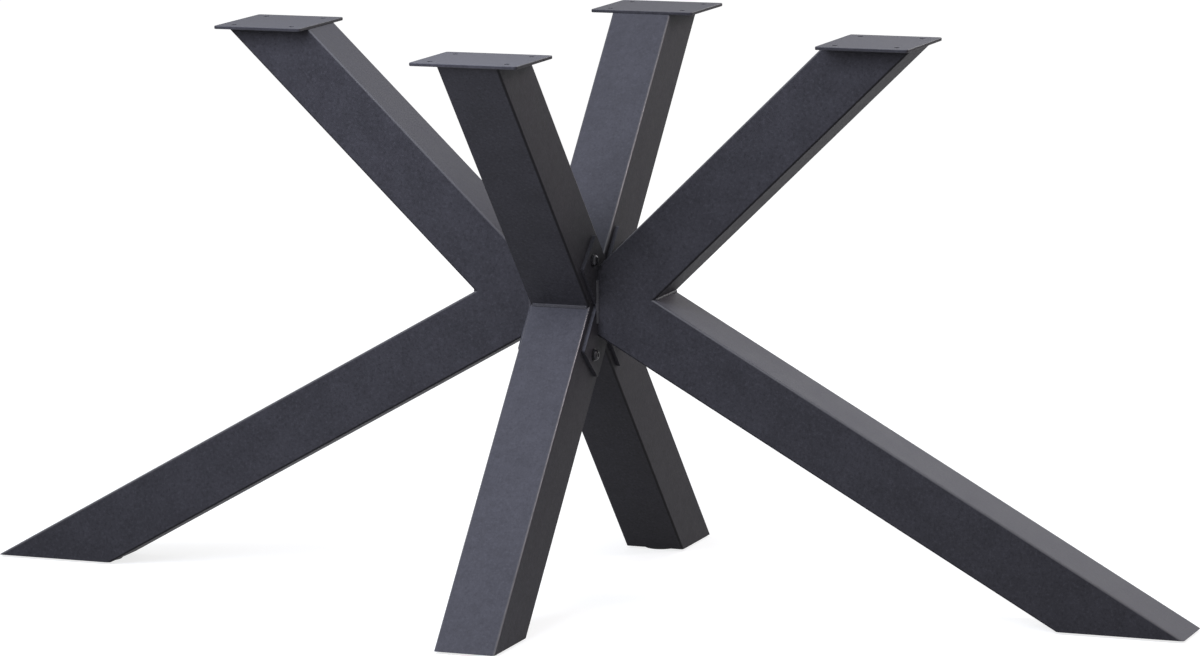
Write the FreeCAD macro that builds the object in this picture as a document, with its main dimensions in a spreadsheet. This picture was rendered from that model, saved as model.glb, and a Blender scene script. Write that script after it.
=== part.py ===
"""Four star table base: two V legs bolted to a crossed pair, square steel tube.

X runs from the left foot to the right foot, Y from the front foot to the rear
foot, Z up. The origin is on the floor, under the centre of the cross.
"""
import FreeCAD, Part
import os
import Sketcher

V = FreeCAD.Vector

# Driving sizes, in millimetres and degrees.
SIZES = [
    ("base_height", 720, "floor to the faces of the top plates"),
    ("tube_size", 80, "outer width of the square tube"),
    ("tube_wall", 2, "wall of the square tube"),
    ("tube_corner", 3, "outer corner radius of the square tube"),
    ("cross_slope", 48.7, "slope of the crossed front and rear tubes"),
    ("cross_height", 379, "floor to the centre of the cross"),
    ("lower_slope", 29.4, "slope of the lower leg of a side frame"),
    ("upper_slope", 43.9, "slope of the upper arm of a side frame"),
    ("notch_reach", 121, "centre to the notch of a side frame"),
    ("notch_rise", 11, "centre of the cross up to the notch of a side frame"),
    ("plate_thickness", 4, "top plate"),
    ("plate_depth", 120, "top plate, along the leg"),
    ("plate_width", 140, "top plate, across the leg"),
    ("plate_corner", 4, "corner radius of the top plate"),
    ("plate_edge", 0.6, "broken edge of the cut plates"),
    ("plate_hole", 7, "screw hole in the top plate"),
    ("plate_hole_inset", 20, "plate edge to the centre of a screw hole"),
    ("flange_thickness", 5, "crossed flange"),
    ("flange_arm_width", 60, "width of a flange arm"),
    ("flange_corner", 3, "corner radius of a flange arm"),
    ("bolt_gap", 12.8, "side of a side frame to the axis of a flange bolt"),
    ("bolt_end_distance", 15, "flange bolt to the end of its flange arm"),
    ("bolt_hole", 9, "clearance hole for a flange bolt"),
    ("bolt_diameter", 8, "shank of a flange bolt"),
    ("bolt_length", 16, "flange bolt under its head"),
    ("bolt_head", 14, "diameter of the domed bolt head"),
    ("bolt_head_height", 4.4, "height of the domed bolt head"),
    ("bolt_head_rim", 0.8, "straight rim of the domed bolt head"),
    ("bolt_head_flat", 7.2, "flat on top of the domed bolt head"),
    ("bolt_head_bulge", 0.4, "rise of the dome over its chord"),
    ("bolt_socket", 5, "hex socket across flats"),
    ("bolt_socket_depth", 2.6, "depth of the hex socket"),
    ("washer_diameter", 16, "plain washer"),
    ("washer_hole", 8.4, "bore of the plain washer"),
    ("washer_thickness", 1.6, "plain washer"),
    ("nut_flats", 13, "weld nut across flats"),
    ("nut_bore", 8.2, "bore of a weld nut"),
    ("nut_height", 6.5, "weld nut"),
    ("foot_plate_thickness", 3, "plate inside the foot of a tube"),
    ("foot_plate_corner", 2.5, "corner radius of the foot plate"),
    ("foot_plate_gap", 0.2, "foot plate to the inside of the tube"),
    ("glide_diameter", 44, "glide under a foot"),
    ("glide_thickness", 3, "floor to the end of the tube"),
    ("glide_edge", 1, "bevelled lower edge of the glide"),
    ("glide_setback", 25, "heel of the foot to the glide centre"),
    ("stud_diameter", 8, "glide stud"),
    ("stud_length", 22, "glide stud above its head"),
    ("stud_head", 16, "flat head of the glide stud"),
    ("stud_head_height", 1.5, "flat head of the glide stud"),
    ("stud_hole", 8.6, "hole in the foot plate for the stud"),
    ("stud_recess_gap", 0.2, "clearance round the stud head in the glide"),
    ("weld_leg", 4, "leg of a fillet weld"),
    ("weld_crest", 0.5, "rise of a weld bead over its chord"),
    ("root_weld_length", 56, "weld beside the root of a side frame"),
]

doc = FreeCAD.newDocument("TableBase")
sheet = doc.addObject("Spreadsheet::Sheet", "Sizes")
for row, (alias, size, note) in enumerate(SIZES, start=1):
    sheet.set(f"A{row}", alias)
    sheet.set(f"B{row}", str(size))
    sheet.set(f"C{row}", note)
    sheet.setAlias(f"B{row}", alias)
doc.recompute()

# Turn about Z, in degrees, that points a leg's own X axis outward.
HEADINGS = {"right": 0, "rear": 90, "left": 180, "front": 270}

# Worked-out sizes, as expressions of the sheet.
NOTCH_HEIGHT = "(Sizes.cross_height + Sizes.notch_rise)"
BORE = "(Sizes.tube_size - 2 * Sizes.tube_wall)"
TUBE_TOP = "(Sizes.base_height - Sizes.plate_thickness)"
TUBE_FOOT = "Sizes.glide_thickness"
FLANGE_FACE = "(Sizes.tube_size / 2 + Sizes.flange_thickness)"
BOLT_REACH = "((Sizes.tube_size / 2 + Sizes.bolt_gap) / cos(Sizes.cross_slope))"
HALF_MITRE = "((Sizes.lower_slope + Sizes.upper_slope) / 2)"
STRAIGHT_FACE = "(Sizes.tube_size - 2 * Sizes.tube_corner)"

# Spare length of tube past each saw cut, and reach of the saw to each side of the axis.
CUT_MARGIN = "Sizes.tube_size * 3"
SAW_REACH = "Sizes.tube_size * 6"

# Half widths of the gaps between the crossed tubes, at their side notches and at their crotches.
CROSS_NOTCH = "Sizes.tube_size / 2 / sin(Sizes.cross_slope)"
CROSS_CROTCH = "Sizes.tube_size / 2 / cos(Sizes.cross_slope)"
CROSS_TOP = f"(({TUBE_TOP} - Sizes.cross_height) / sin(Sizes.cross_slope))"
CROSS_FOOT = f"((Sizes.cross_height - {TUBE_FOOT}) / sin(Sizes.cross_slope))"

# Middle height of the flat root that a side frame sets against its flange.
ROOT_TOP = (f"({NOTCH_HEIGHT} + Sizes.tube_size / cos(Sizes.upper_slope)"
            f" - (Sizes.notch_reach - {FLANGE_FACE}) * tan(Sizes.upper_slope))")
ROOT_BOTTOM = (f"({NOTCH_HEIGHT} - Sizes.tube_size / cos(Sizes.lower_slope)"
               f" + (Sizes.notch_reach - {FLANGE_FACE}) * tan(Sizes.lower_slope))")
ROOT_MIDDLE = f"(({ROOT_TOP} + {ROOT_BOTTOM}) / 2)"

# Reach of the inner edges of the tube ends: heels at the floor, tops under the plates.
SIDE_HEEL = (f"(Sizes.notch_reach + ({NOTCH_HEIGHT} - {TUBE_FOOT}) / tan(Sizes.lower_slope)"
             " - Sizes.tube_size / sin(Sizes.lower_slope))")
SIDE_TOP = (f"(Sizes.notch_reach + ({TUBE_TOP} - {NOTCH_HEIGHT}) / tan(Sizes.upper_slope)"
            " - Sizes.tube_size / sin(Sizes.upper_slope))")
CROSS_HEEL = (f"((Sizes.cross_height - {TUBE_FOOT}) / tan(Sizes.cross_slope)"
              " - Sizes.tube_size / 2 / sin(Sizes.cross_slope))")
CROSS_TOP_INNER = (f"(({TUBE_TOP} - Sizes.cross_height) / tan(Sizes.cross_slope)"
                   " - Sizes.tube_size / 2 / sin(Sizes.cross_slope))")

# Slope, heel and inner top edge of the tube on each side.
LOWER_SLOPE = {"right": "Sizes.lower_slope", "left": "Sizes.lower_slope",
               "front": "Sizes.cross_slope", "rear": "Sizes.cross_slope"}
HEEL = {"right": SIDE_HEEL, "left": SIDE_HEEL, "front": CROSS_HEEL, "rear": CROSS_HEEL}
TOP_INNER = {"right": SIDE_TOP, "left": SIDE_TOP,
             "front": CROSS_TOP_INNER, "rear": CROSS_TOP_INNER}


def number(expression):
    """Present value of an expression of the sheet."""
    return float(doc.getObject("Sizes").evalExpression(expression.replace("Sizes.", "")))


def outward(side, reach, height):
    """Point at a reach from the centre towards one side, at a height."""
    across = {"right": f"{reach}; 0", "left": f"-({reach}); 0",
              "rear": f"0; {reach}", "front": f"0; -({reach})"}
    return f"vector({across[side]}; {height})"


def new_body(name, place="vector(0; 0; 0)", turn="rotation(0; 0; 0)"):
    """Body with its own label and a placement bound to the sheet."""
    body = doc.addObject("PartDesign::Body", name)
    body.Label = name
    body.setExpression("Placement", f"placement({place}; {turn})")
    return body


def new_sketch(body, plane, name, place="vector(0; 0; 0)", turn="0"):
    """Sketch on one of the body's origin planes, moved and turned in that plane."""
    sketch = body.newObject("Sketcher::SketchObject", name)
    origin_plane = next(item for item in body.Origin.OriginFeatures if item.Role == plane)
    sketch.AttachmentSupport = (origin_plane, [""])
    sketch.MapMode = "FlatFace"
    offset = f"placement({place}; rotation(vector(0; 0; 1); {turn}))"
    sketch.setExpression("AttachmentOffset", offset)
    return sketch


def bind(sketch, kind, first, first_end, second, second_end, expression):
    """Named size between two points of a sketch, bound to an expression."""
    constraint = Sketcher.Constraint(kind, first, first_end, second, second_end, number(expression))
    index = sketch.addConstraint(constraint)
    label = f"size{index}"
    sketch.renameConstraint(index, label)
    sketch.setExpression(f"Constraints.{label}", expression)


def draw_outline(sketch, corners, arc_from=None, arc_middle=None):
    """Closed outline through corners, with one side as an arc if asked."""
    points = [V(number(x), number(y), 0) for x, y in corners]
    count = len(points)
    for index in range(count):
        following = points[(index + 1) % count]
        if index == arc_from:
            middle = V(number(arc_middle[0]), number(arc_middle[1]), 0)
            sketch.addGeometry(Part.Arc(points[index], middle, following))
        else:
            sketch.addGeometry(Part.LineSegment(points[index], following))
    ends = []
    for index in range(count):
        reversed_arc = index == arc_from and points[index].distanceToPoint(
            sketch.Geometry[index].StartPoint) > 1e-6
        ends.append((2, 1) if reversed_arc else (1, 2))
    for index in range(count):
        following = (index + 1) % count
        sketch.addConstraint(Sketcher.Constraint(
            "Coincident", index, ends[index][1], following, ends[following][0]))
    for index, (x, y) in enumerate(corners):
        bind(sketch, "DistanceX", -1, 1, index, ends[index][0], x)
        bind(sketch, "DistanceY", -1, 1, index, ends[index][0], y)
    if arc_from is not None:
        on_arc = sketch.addGeometry(Part.Point(V(number(arc_middle[0]), number(arc_middle[1]), 0)))
        sketch.toggleConstruction(on_arc)
        sketch.addConstraint(Sketcher.Constraint("PointOnObject", on_arc, 1, arc_from))
        bind(sketch, "DistanceX", -1, 1, on_arc, 1, arc_middle[0])
        bind(sketch, "DistanceY", -1, 1, on_arc, 1, arc_middle[1])


def draw_rounded_rectangle(sketch, length, width, radius):
    """Rectangle about the sketch origin with four rounded corners."""
    half_length = number(length) / 2
    half_width = number(width) / 2
    corner = number(radius)
    base = sketch.GeometryCount
    sides = [(V(corner - half_length, -half_width), V(half_length - corner, -half_width)),
             (V(half_length, corner - half_width), V(half_length, half_width - corner)),
             (V(half_length - corner, half_width), V(corner - half_length, half_width)),
             (V(-half_length, half_width - corner), V(-half_length, corner - half_width))]
    quarter = FreeCAD.Units.parseQuantity("90 deg").getValueAs("rad").Value
    centres = [(half_length - corner, corner - half_width), (half_length - corner, half_width - corner),
               (corner - half_length, half_width - corner), (corner - half_length, corner - half_width)]
    for start, end in sides:
        sketch.addGeometry(Part.LineSegment(start, end))
    for index, (x, y) in enumerate(centres):
        circle = Part.Circle(V(x, y), V(0, 0, 1), corner)
        start = (index - 1) * quarter
        sketch.addGeometry(Part.ArcOfCircle(circle, start, start + quarter))
    for index in range(4):
        arc = base + 4 + index
        sketch.addConstraint(Sketcher.Constraint("Tangent", base + index, 2, arc, 1))
        sketch.addConstraint(Sketcher.Constraint("Tangent", arc, 2, base + (index + 1) % 4, 1))
        direction = "Horizontal" if index % 2 == 0 else "Vertical"
        sketch.addConstraint(Sketcher.Constraint(direction, base + index))
        if index:
            sketch.addConstraint(Sketcher.Constraint("Equal", base + 4, arc))
    sketch.addConstraint(Sketcher.Constraint("Symmetric", base, 1, base + 2, 1, -1, 1))
    index = sketch.addConstraint(Sketcher.Constraint("Radius", base + 4, corner))
    sketch.renameConstraint(index, f"radius{index}")
    sketch.setExpression(f"Constraints.radius{index}", radius)
    bind(sketch, "DistanceX", base + 3, 1, base + 1, 1, length)
    bind(sketch, "DistanceY", base, 1, base + 2, 1, width)


def draw_circle(sketch, diameter, x="0", y="0"):
    """Circle of a sketch, at a place bound to the sheet."""
    centre = V(number(x), number(y), 0)
    index = sketch.addGeometry(Part.Circle(centre, V(0, 0, 1), number(diameter) / 2))
    label = sketch.addConstraint(Sketcher.Constraint("Diameter", index, number(diameter)))
    sketch.renameConstraint(label, f"diameter{label}")
    sketch.setExpression(f"Constraints.diameter{label}", diameter)
    bind(sketch, "DistanceX", -1, 1, index, 3, x)
    bind(sketch, "DistanceY", -1, 1, index, 3, y)


def draw_hexagon(sketch, flats):
    """Regular hexagon about the sketch origin, given across its flats."""
    half = f"{flats} / 2"
    corner = f"{flats} / 2 / cos(30)"
    side = f"{flats} / 4 / cos(30)"
    draw_outline(sketch, [(corner, "0"), (side, half), (f"-{side}", half),
                          (f"-{corner}", "0"), (f"-{side}", f"-{half}"), (side, f"-{half}")])


def pad(body, sketch, length, symmetric=False, downward=False):
    """Raise a sketch into a solid."""
    feature = body.newObject("PartDesign::Pad", f"{sketch.Name}_pad")
    feature.Profile = sketch
    feature.SideType = "Symmetric" if symmetric else "One side"
    feature.Reversed = downward
    feature.setExpression("Length", length)
    return feature


def cut(body, sketch, depth=None, forward=False):
    """Cut a sketch right through both ways, or to a depth on one side."""
    doc.recompute()
    before = body.Shape.Volume
    feature = body.newObject("PartDesign::Pocket", f"{sketch.Name}_cut")
    feature.Profile = sketch
    if depth is None:
        feature.SideType = "Symmetric"
        feature.Type = "ThroughAll"
    else:
        feature.SideType = "One side"
        feature.Reversed = forward
        feature.setExpression("Length", depth)
    doc.recompute()
    if not feature.Shape.Volume < before - 1e-6:
        raise RuntimeError(f"{feature.Name} removes nothing")
    return feature


def mirror_copies(body, originals, planes):
    """Repeat features across the body's own planes, one mirror after another."""
    plane_of = {item.Role: item for item in body.Origin.OriginFeatures}
    copies = body.newObject("PartDesign::MultiTransform", f"{originals[0].Name}_copies")
    copies.Originals = originals
    mirrors = []
    for plane in planes:
        mirror = body.newObject("PartDesign::Mirrored", f"{originals[0].Name}_{plane}_mirror")
        mirror.MirrorPlane = (plane_of[plane], [""])
        mirrors.append(mirror)
    copies.Transformations = mirrors
    body.Tip = copies


def is_level(edge):
    """True for an edge that keeps one height."""
    return abs(edge.Vertexes[0].Z - edge.Vertexes[-1].Z) < 1e-6


def break_flat_edges(body, plate, size):
    """Small chamfer round the upper and lower outlines of a flat plate."""
    doc.recompute()
    names = [f"Edge{index}" for index, edge in enumerate(plate.Shape.Edges, start=1) if is_level(edge)]
    chamfer = body.newObject("PartDesign::Chamfer", f"{body.Name}_edges")
    chamfer.Base = (plate, names)
    chamfer.setExpression("Size", size)


# Square tube. Its own X axis runs along the tube, Z across it in the plane of the leg.

def square_tube(name, place, heading, pitch, behind, ahead):
    """Length of square tube, from behind the body's origin to ahead of it."""
    body = new_body(name, place, f"rotation({heading}; {pitch}; 0)")
    section = new_sketch(body, "YZ_Plane", f"{name}_section", f"vector(0; 0; -({behind}))")
    draw_rounded_rectangle(section, "Sizes.tube_size", "Sizes.tube_size", "Sizes.tube_corner")
    draw_rounded_rectangle(section, BORE, BORE, "(Sizes.tube_corner - Sizes.tube_wall)")
    pad(body, section, f"({behind}) + ({ahead})")
    return body


def saw_cut(body, name, along, angle):
    """Saw the tube across at a point of its axis, and drop the side left of the cut."""
    sketch = new_sketch(body, "XZ_Plane", f"{body.Name}_{name}", f"vector({along}; 0; 0)", angle)
    draw_outline(sketch, [(f"-{SAW_REACH}", "0"), (SAW_REACH, "0"),
                          (SAW_REACH, SAW_REACH), (f"-{SAW_REACH}", SAW_REACH)])
    return cut(body, sketch)


def bolt_holes(body, name, places):
    """Holes for the flange bolts through both side walls of a tube."""
    sketch = new_sketch(body, "XZ_Plane", f"{body.Name}_{name}")
    for along in places:
        draw_circle(sketch, "Sizes.bolt_hole", along)
    cut(body, sketch)


def cross_main_tube():
    """The through tube of the cross, from the front foot up to the rear top plate."""
    body = square_tube("cross_main_tube", "vector(0; 0; Sizes.cross_height)", HEADINGS["rear"],
                       "-Sizes.cross_slope", f"{CROSS_FOOT} + {CUT_MARGIN}", f"{CROSS_TOP} + {CUT_MARGIN}")
    saw_cut(body, "top", CROSS_TOP, "-Sizes.cross_slope")
    saw_cut(body, "foot", f"-{CROSS_FOOT}", "180 - Sizes.cross_slope")
    bolt_holes(body, "bolt_holes", [BOLT_REACH, f"-{BOLT_REACH}"])
    return body


def cross_half_tube(name, side, pitch, end, end_angle, joint_angle):
    """A tube butted on the face of the through tube, running out to one end."""
    body = square_tube(name, "vector(0; 0; Sizes.cross_height)", HEADINGS[side], pitch,
                       CUT_MARGIN, f"{end} + {CUT_MARGIN}")
    saw_cut(body, "end", end, end_angle)
    saw_cut(body, "joint", "Sizes.tube_size / 2 / sin(2 * Sizes.cross_slope)", joint_angle)
    bolt_holes(body, "bolt_hole", [BOLT_REACH])
    return body


def side_tube(side, level):
    """One of the two mitred tubes of a side frame, cut off flat against its flange."""
    if level == "upper_arm":
        pitch, lift = "Sizes.upper_slope", "Sizes.tube_size / 2"
        end_height, mitre_angle = TUBE_TOP, f"180 - {HALF_MITRE}"
    else:
        pitch, lift = "(-Sizes.lower_slope)", "(-Sizes.tube_size / 2)"
        end_height, mitre_angle = TUBE_FOOT, HALF_MITRE
    reach = f"(Sizes.notch_reach - {lift} * sin({pitch}))"
    height = f"({NOTCH_HEIGHT} + {lift} * cos({pitch}))"
    end = f"(({end_height} - {height}) / sin({pitch}))"
    body = square_tube(f"{side}_{level}", outward(side, reach, height), HEADINGS[side],
                       f"-{pitch}", f"{reach} + {CUT_MARGIN}", f"{end} + {CUT_MARGIN}")
    end_angle = f"-{pitch}" if level == "upper_arm" else f"180 - {pitch}"
    saw_cut(body, "end", end, end_angle)
    saw_cut(body, "mitre", f"-Sizes.tube_size / 2 / tan({HALF_MITRE})", mitre_angle)
    saw_cut(body, "root", f"({FLANGE_FACE} - {reach}) / cos({pitch})", f"90 - {pitch}")
    return body


# Flat parts.

def top_plate(side):
    """Plate under the table top, its inner edge flush with the tube."""
    centre = f"{TOP_INNER[side]} + Sizes.plate_depth / 2"
    name = f"{side}_top_plate"
    body = new_body(name, outward(side, centre, TUBE_TOP), f"rotation({HEADINGS[side]}; 0; 0)")
    sketch = new_sketch(body, "XY_Plane", f"{name}_outline")
    draw_rounded_rectangle(sketch, "Sizes.plate_depth", "Sizes.plate_width", "Sizes.plate_corner")
    plate = pad(body, sketch, "Sizes.plate_thickness")
    break_flat_edges(body, plate, "Sizes.plate_edge")
    holes = new_sketch(body, "XY_Plane", f"{name}_holes")
    along = "(Sizes.plate_depth / 2 - Sizes.plate_hole_inset)"
    across = "(Sizes.plate_width / 2 - Sizes.plate_hole_inset)"
    for x in (along, f"-{along}"):
        for y in (across, f"-{across}"):
            draw_circle(holes, "Sizes.plate_hole", x, y)
    cut(body, holes)
    return body


def crossed_flange(side):
    """Two crossed bars in one flat plate, bolted on the side faces of the cross."""
    name = f"{side}_flange"
    body = new_body(name, outward(side, "Sizes.tube_size / 2", "Sizes.cross_height"),
                    f"rotation({HEADINGS[side]}; 0; 0)")
    turns = {"rising_bar": "Sizes.cross_slope", "falling_bar": "-Sizes.cross_slope"}
    for bar, turn in turns.items():
        sketch = new_sketch(body, "YZ_Plane", f"{name}_{bar}", turn=turn)
        draw_rounded_rectangle(sketch, f"2 * ({BOLT_REACH} + Sizes.bolt_end_distance)",
                               "Sizes.flange_arm_width", "Sizes.flange_corner")
        pad(body, sketch, "Sizes.flange_thickness")
    for bar, turn in turns.items():
        sketch = new_sketch(body, "YZ_Plane", f"{name}_{bar}_holes", turn=turn)
        draw_circle(sketch, "Sizes.bolt_hole", BOLT_REACH)
        draw_circle(sketch, "Sizes.bolt_hole", f"-{BOLT_REACH}")
        cut(body, sketch)
    return body


def foot_plate(side):
    """Plate let into the cut end of a foot, with slanted ends that follow the tube."""
    slope = LOWER_SLOPE[side]
    start = f"({HEEL[side]} + (Sizes.tube_wall + Sizes.foot_plate_gap) / sin({slope}))"
    length = f"(({BORE} - 2 * Sizes.foot_plate_gap) / sin({slope}))"
    lean = f"Sizes.foot_plate_thickness / tan({slope})"
    name = f"{side}_foot_plate"
    body = new_body(name, f"vector(0; 0; {TUBE_FOOT})", f"rotation({HEADINGS[side]}; 0; 0)")
    profile = new_sketch(body, "XZ_Plane", f"{name}_profile")
    rise = "Sizes.foot_plate_thickness"
    draw_outline(profile, [(start, "0"), (f"{start} + {length}", "0"),
                           (f"{start} + {length} - {lean}", rise), (f"{start} - {lean}", rise)])
    plate = pad(body, profile, f"{BORE} - 2 * Sizes.foot_plate_gap", symmetric=True)
    doc.recompute()
    slanted = [f"Edge{index}" for index, edge in enumerate(plate.Shape.Edges, start=1)
               if not is_level(edge)]
    rounding = body.newObject("PartDesign::Fillet", f"{name}_corners")
    rounding.Base = (plate, slanted)
    rounding.setExpression("Radius", "Sizes.foot_plate_corner")
    hole = new_sketch(body, "XY_Plane", f"{name}_hole")
    draw_circle(hole, "Sizes.stud_hole", f"{HEEL[side]} + Sizes.glide_setback")
    cut(body, hole)
    return body


# Turned parts and fasteners.

def revolve(body, sketch, axis):
    """Turn a half profile about one of its sketch axes."""
    feature = body.newObject("PartDesign::Revolution", f"{sketch.Name}_turned")
    feature.Profile = sketch
    feature.ReferenceAxis = (sketch, [axis])
    feature.Angle = 360
    return feature


def glide(side):
    """Low round glide, recessed on top for the head of its stud."""
    name = f"{side}_glide"
    centre = outward(side, f"({HEEL[side]} + Sizes.glide_setback)", "0")
    body = new_body(name, centre, f"rotation({HEADINGS[side]}; 0; 0)")
    profile = new_sketch(body, "XZ_Plane", f"{name}_profile")
    radius = "Sizes.glide_diameter / 2"
    rim = "Sizes.glide_thickness"
    edge = "Sizes.glide_edge"
    recess = "(Sizes.stud_head / 2 + Sizes.stud_recess_gap)"
    floor = "(Sizes.glide_thickness - Sizes.stud_head_height)"
    draw_outline(profile, [("0", "0"), (f"{radius} - {edge}", "0"), (radius, edge), (radius, rim),
                           (recess, rim), (recess, floor), ("0", floor)])
    revolve(body, profile, "V_Axis")
    return body


# One foot of each pair, and the plane that mirrors it to the other foot.
FOOT_PAIRS = {"right": "YZ_Plane", "rear": "XZ_Plane"}


def glide_studs():
    """The four flat-headed studs that hold the glides, as one group."""
    body = new_body("glide_studs")
    head_floor = "(Sizes.glide_thickness - Sizes.stud_head_height)"
    lengths = {"stud_head": "Sizes.stud_head_height",
               "stud_diameter": "(Sizes.stud_head_height + Sizes.stud_length)"}
    for side, plane in FOOT_PAIRS.items():
        place = outward(side, f"({HEEL[side]} + Sizes.glide_setback)", head_floor)
        pads = []
        for diameter, length in lengths.items():
            sketch = new_sketch(body, "XY_Plane", f"{side}_{diameter}", place)
            draw_circle(sketch, f"Sizes.{diameter}")
            pads.append(pad(body, sketch, length))
        mirror_copies(body, pads, [plane])
    return body


def glide_nuts():
    """The four weld nuts on the foot plates, as one group."""
    body = new_body("glide_nuts")
    seat = f"({TUBE_FOOT} + Sizes.foot_plate_thickness)"
    for side, plane in FOOT_PAIRS.items():
        place = outward(side, f"({HEEL[side]} + Sizes.glide_setback)", seat)
        sketch = new_sketch(body, "XY_Plane", f"{side}_glide_nut", place)
        draw_hexagon(sketch, "Sizes.nut_flats")
        draw_circle(sketch, "Sizes.nut_bore")
        mirror_copies(body, [pad(body, sketch, "Sizes.nut_height")], [plane])
    return body


# The flange fasteners stand round the centre of the cross, one on each flange arm of each side.
BOLT_ACROSS = f"{BOLT_REACH} * cos(Sizes.cross_slope)"
BOLT_UP = f"{BOLT_REACH} * sin(Sizes.cross_slope)"
ALL_WAYS = ["YZ_Plane", "XZ_Plane", "XY_Plane"]


def fastener_sketch(body, name, along):
    """Sketch square to a flange bolt, centred on the bolt of the upper rear arm."""
    return new_sketch(body, "YZ_Plane", name, f"vector({BOLT_ACROSS}; {BOLT_UP}; {along})")


def flange_bolts():
    """Eight domed socket bolts, as one group."""
    body = new_body("flange_bolts", "vector(0; 0; Sizes.cross_height)")
    seat = f"({FLANGE_FACE} + Sizes.washer_thickness)"
    profile = new_sketch(body, "XY_Plane", "bolt_profile",
                         f"vector({seat} - Sizes.bolt_length; {BOLT_ACROSS}; {BOLT_UP})")
    shank = "Sizes.bolt_diameter / 2"
    head = "Sizes.bolt_head / 2"
    under = "Sizes.bolt_length"
    rim = "(Sizes.bolt_length + Sizes.bolt_head_rim)"
    crown = "(Sizes.bolt_length + Sizes.bolt_head_height)"
    flat = "Sizes.bolt_head_flat / 2"
    chord = f"sqrt((Sizes.bolt_head_height - Sizes.bolt_head_rim) ^ 2 + ({head} - {flat}) ^ 2)"
    dome = (f"({rim} + {crown}) / 2 + Sizes.bolt_head_bulge * ({head} - {flat}) / {chord}",
            f"({head} + {flat}) / 2 + Sizes.bolt_head_bulge * ({crown} - {rim}) / {chord}")
    draw_outline(profile, [("0", "0"), (crown, "0"), (crown, flat), (rim, head), (under, head),
                           (under, shank), ("0", shank)], arc_from=2, arc_middle=dome)
    turned = revolve(body, profile, "H_Axis")
    socket = fastener_sketch(body, "bolt_socket", f"{seat} + Sizes.bolt_head_height")
    draw_hexagon(socket, "Sizes.bolt_socket")
    hollow = cut(body, socket, depth="Sizes.bolt_socket_depth")
    mirror_copies(body, [turned, hollow], ALL_WAYS)
    return body


def flange_washers():
    """Eight plain washers, as one group."""
    body = new_body("flange_washers", "vector(0; 0; Sizes.cross_height)")
    sketch = fastener_sketch(body, "washer_ring", FLANGE_FACE)
    draw_circle(sketch, "Sizes.washer_diameter")
    draw_circle(sketch, "Sizes.washer_hole")
    mirror_copies(body, [pad(body, sketch, "Sizes.washer_thickness")], ALL_WAYS)
    return body


def flange_nuts():
    """Eight weld nuts inside the side walls of the crossed tubes, as one group."""
    body = new_body("flange_nuts", "vector(0; 0; Sizes.cross_height)")
    sketch = fastener_sketch(body, "nut_section", "Sizes.tube_size / 2 - Sizes.tube_wall")
    draw_hexagon(sketch, "Sizes.nut_flats")
    draw_circle(sketch, "Sizes.nut_bore")
    mirror_copies(body, [pad(body, sketch, "Sizes.nut_height", downward=True)], ALL_WAYS)
    return body


# Fillet welds. The profile lies in a corner, its two legs on the two faces that meet there.

def weld_bead(body, name, plane, place, turn, half_corner, length):
    """Rounded fillet bead along a corner, padded both ways from its middle."""
    sketch = new_sketch(body, plane, name, place, turn)
    near = f"Sizes.weld_leg * cos({half_corner})"
    wide = f"Sizes.weld_leg * sin({half_corner})"
    crest = f"{near} + Sizes.weld_crest"
    draw_outline(sketch, [("0", "0"), (near, f"-{wide}"), (near, wide)],
                 arc_from=1, arc_middle=(crest, "0"))
    return pad(body, sketch, length, symmetric=True)


def side_notch_welds():
    """Bead in the notch of each side frame."""
    body = new_body("side_notch_welds", f"vector(0; 0; {NOTCH_HEIGHT})")
    bisector = "(Sizes.upper_slope - Sizes.lower_slope) / 2"
    bead = weld_bead(body, "side_notch_bead", "XZ_Plane", "vector(Sizes.notch_reach; 0; 0)", bisector,
                     HALF_MITRE, STRAIGHT_FACE)
    mirror_copies(body, [bead], ["YZ_Plane"])
    return body


def cross_welds():
    """Beads in the two notches and the two crotches of the cross."""
    body = new_body("cross_welds", "vector(0; 0; Sizes.cross_height)")
    notch = weld_bead(body, "cross_notch_bead", "YZ_Plane", f"vector({CROSS_NOTCH}; 0; 0)", "0",
                      "Sizes.cross_slope", STRAIGHT_FACE)
    mirror_copies(body, [notch], ["XZ_Plane"])
    crotch = weld_bead(body, "cross_crotch_bead", "YZ_Plane", f"vector(0; {CROSS_CROTCH}; 0)", "90",
                       "(90 - Sizes.cross_slope)", STRAIGHT_FACE)
    mirror_copies(body, [crotch], ["XY_Plane"])
    return body


def root_welds():
    """Bead down each side of the root of a side frame, on the face of its flange."""
    body = new_body("root_welds", f"vector(0; 0; {ROOT_MIDDLE})")
    corner = f"vector({FLANGE_FACE}; Sizes.tube_size / 2; 0)"
    bead = weld_bead(body, "root_bead", "XY_Plane", corner, "45", "45", "Sizes.root_weld_length")
    mirror_copies(body, [bead], ["YZ_Plane", "XZ_Plane"])
    return body


def build():
    """All bodies of the table base."""
    bodies = [cross_main_tube()]
    bodies.append(cross_half_tube("cross_front_arm", "front", "-Sizes.cross_slope", CROSS_TOP,
                                  "-Sizes.cross_slope", "180 - 2 * Sizes.cross_slope"))
    bodies.append(cross_half_tube("cross_rear_leg", "rear", "Sizes.cross_slope", CROSS_FOOT,
                                  "180 + Sizes.cross_slope", "2 * Sizes.cross_slope"))
    for side in ("left", "right"):
        bodies.append(side_tube(side, "upper_arm"))
        bodies.append(side_tube(side, "lower_leg"))
        bodies.append(crossed_flange(side))
    for side in HEADINGS:
        bodies.append(top_plate(side))
        bodies.append(foot_plate(side))
        bodies.append(glide(side))
    bodies += [flange_bolts(), flange_washers(), flange_nuts(), glide_studs(), glide_nuts(),
               side_notch_welds(), cross_welds(), root_welds()]
    return bodies


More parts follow.
